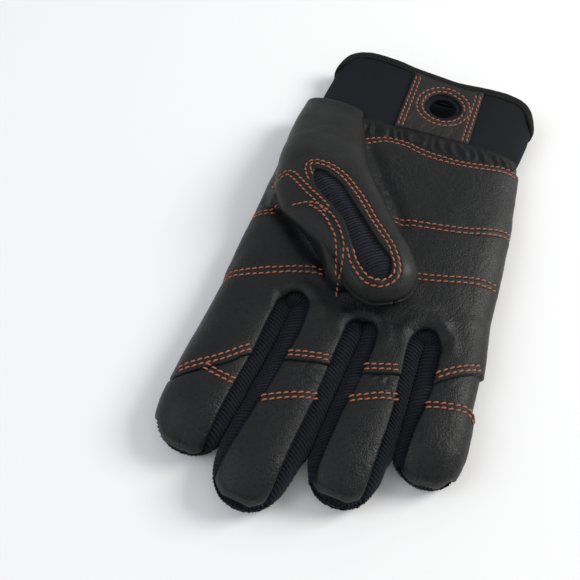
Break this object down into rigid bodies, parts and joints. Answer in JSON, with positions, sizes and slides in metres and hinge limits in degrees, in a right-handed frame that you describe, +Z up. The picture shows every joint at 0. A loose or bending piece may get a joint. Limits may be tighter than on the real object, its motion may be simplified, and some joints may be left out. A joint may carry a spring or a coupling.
{
  "type": "climbing glove",
  "caption": "Right-hand leather climbing and belay glove lying palm up, thumb folded over the palm, knitted finger walls and back, neoprene cuff with clip hole.",
  "frame": {"origin": "middle of the underside of the glove's bounding box, on the surface that it lies on", "axes": "+Z up out of the palm, +Y from the fingertips to the cuff, +X towards the little finger"},
  "size_m": [0.1178, 0.2462, 0.0342],
  "materials": {
    "leather": "black goat leather with a fine pebbled grain, half matte",
    "knit": "black ribbed knit, matte",
    "neoprene": "black fabric-faced neoprene foam, matte",
    "binding": "black woven binding tape, matte"
  },
  "bodies": {
    "root": {"palm_leather": "leather", "back_knit": "knit", "index_middle_gusset": "knit", "middle_ring_gusset": "knit", "ring_little_gusset": "knit", "palm_overlay": "leather", "index_tip_overlay": "leather", "middle_tip_overlay": "leather", "ring_tip_overlay": "leather", "little_tip_overlay": "leather", "thumb_leather": "leather", "thumb_window_knit": "knit", "thumb_web": "leather", "wrist_gather": "leather", "cuff_band": "neoprene", "cuff_binding": "binding", "clip_patch": "leather"}
  },
  "joints": []
}
